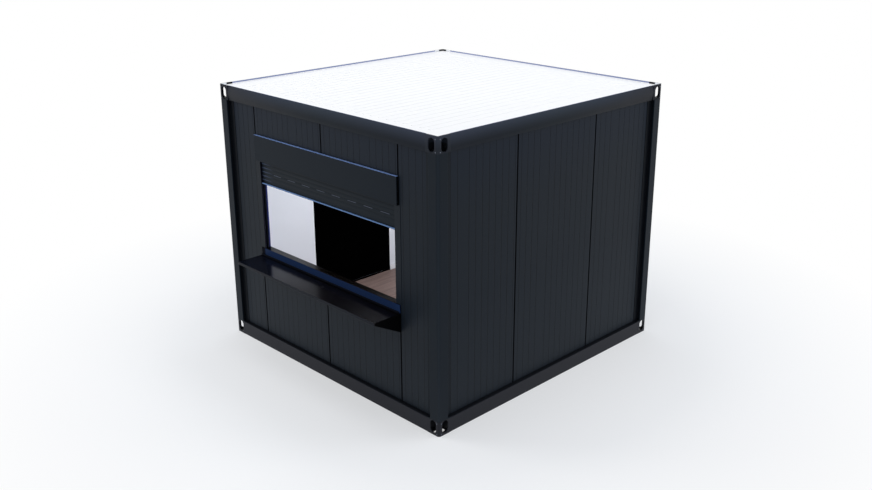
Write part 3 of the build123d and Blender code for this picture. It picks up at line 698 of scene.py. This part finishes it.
# Painted shade: the tray's upstands are blue-grey instead of white.
upstand_shade = roof_z.above(tray_low.z + upstand_start, 0.0008)
roof_colour = roof_paint.mix(upstand_shade, roof_colour, (0.24, 0.28, 0.46))
roof_white = roof_paint.surface(base_color=roof_colour, roughness=0.45, specular_ior_level=0.3)
dress(["roof_tray"], roof_white)
ceiling_white = plain("ceiling_white", 2.0, (0.80, 0.81, 0.83), (0.85, 0.855, 0.87), roughness=0.5)
dress(["ceiling_panel"], ceiling_white)


def cone(layout, sides, foot, top, height):
    """A blunt cone, given by its number of sides, its two radii and its height."""
    sizes = {"Vertices": sides, "Radius Top": top, "Radius Bottom": foot, "Depth": height}
    return layout.node("GeometryNodeMeshCone", {}, sizes)


def stubs(spots):
    """Points and edges for heads(): a short edge at each spot, given as a place and the way it faces."""
    points = []
    for place, way in spots:
        points += [place, tuple(Vector(place) + 0.01 * Vector(way))]
    return points, [(2 * i, 2 * i + 1) for i in range(len(spots))]


tray_level = tray_low.z + 0.003
rivet_reach = tray_high.x - 0.020
rivet_pitch = 0.25
rivet_count = 5
rivet_spots = []
for step in range(-rivet_count, rivet_count + 1):
    for side in (-1, 1):
        reach = side * rivet_reach
        for x, y in ((step * rivet_pitch, reach), (reach, step * rivet_pitch)):
            rivet_spots.append(((x, y, tray_level), (0.0, 0.0, 1.0)))
rivets = Layout("roof_rivets", {"Head Radius": 0.0060, "Head Height": 0.0022, "Head Sides": 16})
rivet_sides, rivet_foot, rivet_height = [rivets.size[f"Head {key}"] for key in ("Sides", "Radius", "Height")]
rivet_head = cone(rivets, rivet_sides, rivet_foot, rivet_foot * 0.55, rivet_height)
rivets.grow(rivets.heads(rivet_head), roof_white, *stubs(rivet_spots), "roof_white")

# Roller shutter: a folded steel box over the hatch, channels screwed to the sides of the opening
# and a curtain of crowned slats with a lipped bottom bar. Thin pale blue sheets on the box's top
# and on the bar's lip are painted highlights.
box_low, box_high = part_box("shutter_box")
bar_low, bar_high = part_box("shutter_bottom_bar")
guide_low, guide_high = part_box("shutter_guides")
curtain_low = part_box("shutter_curtain")[0]
curtain_cover = 0.028
opening_half = bar_high.x - curtain_cover
slat_pitch = 0.039
box_lip = 0.007
shutter_paint = Finish("shutter_paint")
shutter_vector = shutter_paint.place()
shutter_x, shutter_y = shutter_paint.axes(shutter_vector)[:2]
shutter_cloud = shutter_paint.noise(shutter_vector, 1.5, 4.0)
shutter_grain = shutter_paint.noise(shutter_vector, 500.0)
shutter_colour = shutter_paint.mix(shutter_cloud, (0.0040, 0.0078, 0.0132), (0.0060, 0.0102, 0.0158))
# Painted shade: the box's end faces are nearly black behind a narrow front strip.
box_end_shade = shutter_x.size().above(box_high.x - 0.0004, 0.0004)
box_end_shade = box_end_shade * shutter_y.above(box_low.y + box_lip, 0.001)
shutter_colour = shutter_paint.mix(box_end_shade, shutter_colour, (0.0015, 0.0017, 0.0022))
shutter_skin = shutter_paint.surface(
    base_color=shutter_colour,
    roughness=0.42 + shutter_cloud * 0.10,
    specular_ior_level=0.09,
    normal=shutter_paint.bump(shutter_grain, 0.10, 0.0005),
)
soften(["shutter_box"], "root", 0.0010, shutter_skin)

# Painted highlights: the pale blue sheets on the box's top and on the bar's lip.
highlight_paint = Finish("edge_highlight")
edge_vector = highlight_paint.place()
edge_z = highlight_paint.axes(edge_vector)[2]
edge_cloud = highlight_paint.noise(edge_vector, 6.0)
box_highlight_colour = highlight_paint.mix(edge_cloud, (0.21, 0.32, 0.62), (0.24, 0.36, 0.70))
lip_highlight_colour = highlight_paint.mix(edge_cloud, (0.160, 0.280, 0.530), (0.185, 0.315, 0.595))
blue_highlight_mix = highlight_paint.mix(edge_z.above(box_high.z - 0.10, 0.02), lip_highlight_colour, box_highlight_colour)
highlight_blue = highlight_paint.surface(base_color=blue_highlight_mix, roughness=0.5, specular_ior_level=0.2)
box_highlight_half = box_high.x - 0.002
box_highlight_sheet = 0.0012
box_highlight_front = box_low.y - 0.0006
box_highlight_plate = ((-box_highlight_half, -wall_face, box_high.z), (box_highlight_half, box_highlight_front, box_high.z + box_highlight_sheet))
plates("box_top_highlight", [box_highlight_plate], 0.0004, highlight_blue)
lip_highlight_half = opening_half - 0.002
lip_highlight_front = bar_low.y - 0.0008
lip_highlight_back = bar_low.y + 0.0135
lip_highlight_foot = bar_low.z + 0.0022
lip_highlight_top = bar_low.z + 0.0078
lip_highlight_plate = ((-lip_highlight_half, lip_highlight_front, lip_highlight_foot), (lip_highlight_half, lip_highlight_back, lip_highlight_top))
plates("bar_lip_highlight", [lip_highlight_plate], 0.0006, highlight_blue)

slat_paint = Finish("slat_paint")
slat_vector = slat_paint.place()
slat_x, _, slat_z = slat_paint.axes(slat_vector)
slat_cloud = slat_paint.noise(slat_vector, 1.5, 4.0)
slat_colour = slat_paint.mix(slat_cloud, (0.0062, 0.0104, 0.0152), (0.0082, 0.0126, 0.0178))
slat_step = (slat_z - curtain_low.z).repeat(slat_pitch)
slat_edge = (1.0 - slat_step.above(0.004, 0.003)) * slat_z.above(curtain_low.z - 0.002, 0.001)
slat_colour = slat_paint.mix(slat_edge * 0.6, slat_colour, (0.0030, 0.0034, 0.0044))
# Painted highlight on the top of each slat, fading out from the left end of the opening.
slat_highlight = slat_step.above(0.030, 0.004) * (1.0 - (slat_x + opening_half).above(0.10, 0.16))
slat_colour = slat_paint.mix(slat_highlight, slat_colour, (0.058, 0.075, 0.120))
slat_rough = 0.42 + slat_cloud * 0.10
slat_skin = slat_paint.surface(base_color=slat_colour, roughness=slat_rough, specular_ior_level=0.09)
dress(["shutter_curtain", "shutter_bottom_bar"], slat_skin)

guide_paint = Finish("guide_paint")
guide_vector = guide_paint.place()
guide_x, guide_y = guide_paint.axes(guide_vector)[:2]
guide_cloud = guide_paint.noise(guide_vector, 1.5, 4.0)
guide_colour = guide_paint.mix(guide_cloud, (0.0060, 0.0098, 0.0150), (0.0085, 0.0125, 0.0180))
# Painted shade: the guides' faces towards the opening are darker and bluer.
guide_side_shade = 1.0 - guide_x.size().above(opening_half + 0.0020, 0.0010)
guide_side_shade = guide_side_shade * guide_y.above(-wall_face + 0.001, 0.001)
guide_colour = guide_paint.mix(guide_side_shade, guide_colour, (0.0050, 0.0052, 0.0120))
# Painted highlight along the guides' inner edges towards the room.
guide_edge_highlight = guide_side_shade * guide_y.above(-room_face - 0.014, 0.004)
guide_colour = guide_paint.mix(guide_edge_highlight, guide_colour, (0.022, 0.036, 0.17))
guide_skin = guide_paint.surface(base_color=guide_colour, roughness=0.42, specular_ior_level=0.11)
dress(["shutter_guides"], guide_skin)

# Cover screws: low domed steel heads, painted with the shutter. They hold the box along its foot
# and its ends, and each guide down its face.
foot_pitch = 0.24
end_levels = (0.03, 0.12, 0.21)
guide_pitch = 0.19
forwards = (0.0, -1.0, 0.0)
cover_spots = [((step * foot_pitch, box_low.y, box_low.z + 0.016), forwards) for step in range(-4, 5)]
for side in (-1, 1):
    for level in end_levels:
        cover_spots.append(((side * box_high.x, box_low.y + 0.011, box_low.z + level), (side, 0.0, 0.0)))
    guide_middle = side * (guide_high.x + opening_half) / 2
    for step in range(5):
        cover_spots.append(((guide_middle, guide_low.y, guide_low.z + 0.06 + step * guide_pitch), forwards))
covers = Layout("cover_screws", {"Head Radius": 0.0042, "Head Height": 0.0016})
cover_sizes = {"Segments": 20, "Rings": 10, "Radius": covers.size["Head Radius"]}
cover_ball = covers.node("GeometryNodeMeshUVSphere", {}, cover_sizes)
cover_flat = covers.vector(1.0, 1.0, covers.size["Head Height"] / covers.size["Head Radius"])
cover_head = covers.node("GeometryNodeTransform", {}, {"Geometry": cover_ball, "Scale": cover_flat})
covers.grow(covers.heads(cover_head), guide_skin, *stubs(cover_spots), "shutter_steel")

# Light slots of the curtain: a pale plastic strip closes each slot that is punched through the
# slats. It is pressed in from behind and stays just under the slats' face.
slit_pitch = 0.217
slit_first = -0.712
slit_count = 8
slit_height = 0.006
slit_length = 0.118
slit_level = curtain_low.z + 0.068
slit_plane = -wall_face + 0.0225
quarter_turn = 1.5707963
strip_low = (0.075, 0.088, 0.125)
strip_high = (0.095, 0.110, 0.155)
strip_pale = plain("light_strip", 20.0, strip_low, strip_high, roughness=0.3, specular_ior_level=0.3)
strip_sizes = {"Strip Length": slit_length, "Strip Height": slit_height, "Strip Depth": 0.0040}
strips = Layout("light_strips", strip_sizes)
strip_bar = strips.node("GeometryNodeMeshCube", {}, {"Size": strips.vector(*strips.size.values())})
strip_points = strips.node("GeometryNodeMeshToPoints", {"mode": "VERTICES"}, {"Mesh": strips.path})
strip_turn = {"Geometry": strip_bar, "Rotation": (quarter_turn, 0.0, 0.0)}
strip_turned = strips.node("GeometryNodeTransform", {}, strip_turn)
strip_set = {"Points": strip_points, "Instance": strip_turned}
strip_row = strips.node("GeometryNodeInstanceOnPoints", {}, strip_set)
strips.grow(
    strip_row,
    strip_pale,
    [(slit_first + i * slit_pitch, slit_plane, slit_level) for i in range(slit_count)],
    [],
    "shutter_steel",
)

# Guide brushes: two rows of short black plastic bristles, clipped into each guide, that wipe the
# curtain's faces.
bristle_count = 200
bristle_first = guide_low.z + 0.010
bristle_step = (guide_high.z - guide_low.z - 0.020) / bristle_count
bristle_x = opening_half + 0.0060
bristle_rows = ((-wall_face + 0.0150, 1.0), (-wall_face + 0.0300, -1.0))
bristle_spots = []
for side in (-1, 1):
    for row_y, inwards in bristle_rows:
        for step in range(bristle_count):
            place = (side * bristle_x, row_y, bristle_first + step * bristle_step)
            bristle_spots.append((place, (0.0, inwards, 0.0)))
bristle_sizes = {"Bristle Radius": 0.0012, "Bristle Tip": 0.0004, "Bristle Length": 0.0030}
bristles = Layout("guide_brushes", bristle_sizes)
bristle = cone(bristles, 6, *bristles.size.values())
bristles.grow(bristles.heads(bristle), rubber_black, *stubs(bristle_spots), "seal_rubber")

# Counter: a folded steel sheet in glossy near-black lacquer, whose upstand is navy, a painted
# reflection. It hangs on the wall and on two end brackets. A folded cap covers the sill over it,
# and a dark joint strip lies in its inner corner.
shelf_low, shelf_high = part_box("counter_shelf")
shelf_level = shelf_low.z + 0.025
sill_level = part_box("hatch_sill_cap")[1].z
upstand_blue_start = -0.945
lacquer = Finish("counter_lacquer")
lacquer_vector = lacquer.place()
lacquer_x, _, lacquer_z = lacquer.axes(lacquer_vector)
lacquer_cloud = lacquer.noise(lacquer_vector, 2.0)
# Painted reflection: the counter's colour runs from navy at its left end to neutral at its right.
lacquer_painted_reflection = lacquer_x.above(-0.35, 0.70)
lacquer_colour = lacquer.mix(lacquer_painted_reflection, (0.0030, 0.0040, 0.0086), (0.0022, 0.0018, 0.0026))
lacquer_colour = lacquer.mix(lacquer_cloud * 0.3, lacquer_colour, (0.0040, 0.0042, 0.0050))
sill_zone = lacquer_z.above(sill_level - 0.0009, 0.0004)
lacquer_colour = lacquer.mix(sill_zone, lacquer_colour, (0.0016, 0.0012, 0.0010))
upstand_over = lacquer_z.above(sill_level - 0.0008, 0.0006)
upstand_face = lacquer_z.above(shelf_level + 0.002, 0.002) * (1.0 - upstand_over)
# Painted reflection: the upstand's face is navy.
upstand_painted_blue = upstand_face * lacquer_x.above(upstand_blue_start, 0.020)
lacquer_colour = lacquer.mix(upstand_painted_blue, lacquer_colour, (0.0150, 0.0310, 0.0830))
lacquer_gloss = 0.58 - lacquer_x.above(-0.20, 0.52) * 0.31 + lacquer_cloud * 0.03
counter_skin = lacquer.surface(
    base_color=lacquer_colour,
    roughness=0.5,
    specular_ior_level=0.0,
    coat_weight=lacquer_gloss * (1.0 - upstand_face * 0.90),
    coat_roughness=0.17,
)
soften(["counter_shelf"], "root", 0.0008, counter_skin)
lip_low = (0.0046, 0.0066, 0.0115)
lip_high = (0.0056, 0.0076, 0.0130)
lip_skin = plain("counter_lip", 2.0, lip_low, lip_high, roughness=0.14, specular_ior_level=0.075)
shelf_mesh = bpy.data.objects["counter_shelf_rounded"].data
shelf_mesh.materials.append(lip_skin)
for face in shelf_mesh.polygons:
    face.material_index = int(face.normal.y < -0.7 and face.center.y < shelf_low.y + 0.001)
soften(["hatch_sill_cap"], "root", 0.0012, counter_skin)
joint_low = (0.0022, 0.0030, 0.0058)
joint_high = (0.0032, 0.0040, 0.0072)
joint_skin = plain("counter_joint", 8.0, joint_low, joint_high, roughness=0.6, specular_ior_level=0.05)
joint_foot = -wall_face - 0.010
joint_front = joint_foot - 0.012
joint_top = shelf_level + 0.018
joint_half = shelf_high.x - 0.003
joint_box = ((-joint_half, joint_foot, shelf_level), (joint_half, joint_front, joint_top))
plates("counter_joint_strip", [joint_box], 0.004, joint_skin)

# Brackets: a triangular steel plate under each end of the counter, painted matt black. Each stands
# on a foot plate that two hexagon bolts with washers hold to the wall.
black_low = (0.0010, 0.0011, 0.0014)
black_high = (0.0018, 0.0019, 0.0023)
bracket_black = plain("bracket_black", 3.0, black_low, black_high, roughness=0.5, specular_ior_level=0.05)
soften(["shelf_brackets"], "root", 0.0010, bracket_black)
bracket_low, bracket_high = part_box("shelf_brackets")
foot_width = 0.045
foot_sheet = 0.004
foot_front = -wall_face - foot_sheet
foot_low = bracket_low.z + 0.004
foot_high = bracket_high.z - 0.006
foot_boxes = []
bolt_spots = []
for side in (-1, 1):
    outer = side * (bracket_high.x - 0.0075)
    inner = outer - side * foot_width
    foot_boxes.append(((outer, -wall_face, foot_low), (inner, foot_front, foot_high)))
    for level in (bracket_low.z + 0.035, bracket_high.z - 0.040):
        bolt_spots.append((((outer + inner) / 2 - side * 0.004, foot_front, level), forwards))
plates("bracket_feet", foot_boxes, 0.0010, bracket_black)


def disc(layout, part, sides):
    """A flat cylinder whose radius and height are the part's inputs."""
    radius, height = [layout.size[f"{part} {key}"] for key in ("Radius", "Height")]
    sizes = {"Vertices": sides, "Radius": radius, "Depth": height}
    return layout.node("GeometryNodeMeshCylinder", {}, sizes)


bolt_sizes = {"Head Radius": 0.0085, "Head Height": 0.0110, "Washer Radius": 0.0110, "Washer Height": 0.0030}
bolts = Layout("bracket_bolts", bolt_sizes)
bolt = bolts.join(disc(bolts, "Head", 6), disc(bolts, "Washer", 32))
bolts.grow(bolts.heads(bolt), bracket_black, *stubs(bolt_spots), "counter_black")

# Door: a flush steel leaf in a steel frame, nearly black outside. The faces towards the room have
# a deep matt black foil, and the leaf closes on a rubber bulb that is pressed into the stop.
door_inside = -1.4185
door_paint = Finish("door_paint")
door_vector = door_paint.place()
door_x = door_paint.axes(door_vector)[0]
door_cloud = door_paint.noise(door_vector, 1.6)
door_colour = door_paint.mix(door_cloud, (0.0095, 0.0125, 0.0165), (0.0120, 0.0150, 0.0195))
door_colour = door_paint.mix(door_x.above(door_inside, 0.0008), door_colour, (0.0003, 0.0003, 0.0003))
door_skin = door_paint.surface(base_color=door_colour, roughness=0.45, specular_ior_level=0.06)
foil_low = (0.0003, 0.0003, 0.0003)
foil_high = (0.0006, 0.0006, 0.0006)
foil_black = plain("door_foil", 2.0, foil_low, foil_high, roughness=0.9, specular_ior_level=0.0)
soften(["door_leaf"], "door", 0.0015, door_skin)
soften(["door_frame"], "root", 0.0008, door_skin)
for name in ("door_leaf_rounded", "door_frame_rounded"):
    mesh = bpy.data.objects[name].data
    mesh.materials.append(foil_black)
    for face in mesh.polygons:
        face.material_index = int(face.center.x > door_inside and face.normal.z < 0.5)
dress(["frame_hinges", "leaf_hinges"], door_skin)
leaf_low, leaf_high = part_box("door_leaf")
stop_face = leaf_high.x + 0.005
bulb_radius = 0.0022
bulb_x = stop_face - bulb_radius
bulb_y = leaf_high.y - 0.003
bulb_low = 0.151
bulb_top = leaf_high.z - 0.003
bulb_path = ((-bulb_y, bulb_low), (-bulb_y, bulb_top), (bulb_y, bulb_top), (bulb_y, bulb_low))
bulb = Layout("door_seal", {"Bulb Radius": bulb_radius, "Bulb Sides": 10})
bulb_points = [(bulb_x, y, z) for y, z in bulb_path]
bulb.grow(cord(bulb, "Bulb"), rubber_black, bulb_points, [(0, 1), (1, 2), (2, 3)], "seal_rubber")

# Threshold: low ribs of brushed steel, fixed on the foot of the door frame against slipping. They
# run from side to side of the doorway.
satin = Finish("satin_steel")
satin_brush = satin.noise(satin.scaled(satin.place(), (40.0, 3.0, 300.0)), 4.0)
satin_colour = satin.mix(satin_brush, (0.50, 0.50, 0.50), (0.62, 0.62, 0.61))
satin_steel = satin.surface(base_color=satin_colour, metallic=1.0, roughness=0.28 + satin_brush * 0.1)
tread_count = 6
tread_start = (leaf_low.x + 0.004, 0.0, 0.1506)
tread_length = 2 * (leaf_high.y - 0.002)
tread_sizes = {"Rib Width": 0.0030, "Rib Length": tread_length, "Rib Height": 0.0014, "Rib Pitch": 0.0075}
tread = Layout("threshold_ribs", tread_sizes)
tread_form = tread.vector(*[tread.size[f"Rib {key}"] for key in ("Width", "Length", "Height")])
tread_bar = tread.node("GeometryNodeMeshCube", {}, {"Size": tread_form})
tread_step = tread.vector(tread.size["Rib Pitch"], 0.0, 0.0)
tread_rows = {"Count": tread_count, "Start Location": tread_start, "Offset": tread_step}
tread_line = tread.node("GeometryNodeMeshLine", {"mode": "OFFSET"}, tread_rows)
tread_row = tread.node("GeometryNodeInstanceOnPoints", {}, {"Points": tread_line, "Instance": tread_bar})
tread.grow(tread_row, satin_steel, [], [], "handle_steel")

# Lock and handles: lever handles in brushed stainless steel, each with a round rose and a profile
# cylinder under it, black on the room side. A forend is let into the leaf's edge, and a striker is
# screwed to the frame.
soften(["door_handles"], "door", 0.0012, satin_steel)
handle_low, handle_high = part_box("door_handles")
lock_y = handle_low.y + 0.026
lock_z = (handle_low.z + handle_high.z) / 2 - 0.074
lock_sizes = {"Rose Radius": 0.0240, "Rose Height": 0.0080, "Core Radius": 0.0085, "Core Height": 0.0220}
for name, face_x, way, lock_finish in (
    ("lock_rose_outside", leaf_low.x, -1.0, satin_steel),
    ("lock_rose_inside", leaf_high.x, 1.0, foil_black),
):
    lock = Layout(name, lock_sizes)
    lock_form = lock.join(disc(lock, "Rose", 48), disc(lock, "Core", 32))
    lock_spot = ((face_x, lock_y, lock_z), (way, 0.0, 0.0))
    lock.grow(lock.heads(lock_form), lock_finish, *stubs([lock_spot]), "handle_steel", "door")
bolt_middle = (leaf_low.x + leaf_high.x) / 2
forend_boxes = []
for half, rise, low, high in (
    (0.010, 0.0012, -0.080, 0.155),
    (0.006, 0.0035, 0.060, 0.092),
    (0.006, 0.0025, -0.020, 0.016),
):
    foot = (bolt_middle - half, -leaf_high.y, lock_z + low)
    forend_boxes.append((foot, (bolt_middle + half, -leaf_high.y - rise, lock_z + high)))
plates("lock_forend", forend_boxes, 0.0006, satin_steel, "door")
reveal_y = -(leaf_high.y + 0.005)
striker_foot = (bolt_middle - 0.011, reveal_y, lock_z - 0.060)
striker_box = (striker_foot, (bolt_middle + 0.011, reveal_y + 0.0008, lock_z + 0.130))
plates("lock_striker", [striker_box], 0.0003, satin_steel)

# Hinge screws: four low steel heads on each plate of the three hinges. One set stays on the frame,
# and the other turns with the leaf.
screw_edge = 0.024
screw_gap_y = 0.014
screw_half_z = 0.012
for name, node, body, first_y, plate_sheet in (
    ("frame_hinge_screws", "frame_hinges", "root", 0.492, 0.004),
    ("leaf_hinge_screws", "leaf_hinges", "door", 0.451, 0.003),
):
    plate_low, plate_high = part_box(node)
    plate_face = leaf_low.x - plate_sheet
    screw_spots = []
    for middle_z in (plate_low.z + screw_edge, (plate_low.z + plate_high.z) / 2, plate_high.z - screw_edge):
        for y in (first_y, first_y + screw_gap_y):
            for z in (middle_z - screw_half_z, middle_z + screw_half_z):
                screw_spots.append(((plate_face, y, z), (-1.0, 0.0, 0.0)))
    screws = Layout(name, {"Head Radius": 0.0038, "Head Height": 0.0012})
    screw_foot = screws.size["Head Radius"]
    screw_head = cone(screws, 20, screw_foot, screw_foot * 0.80, screws.size["Head Height"])
    screws.grow(screws.heads(screw_head), satin_steel, *stubs(screw_spots), "handle_steel", body)
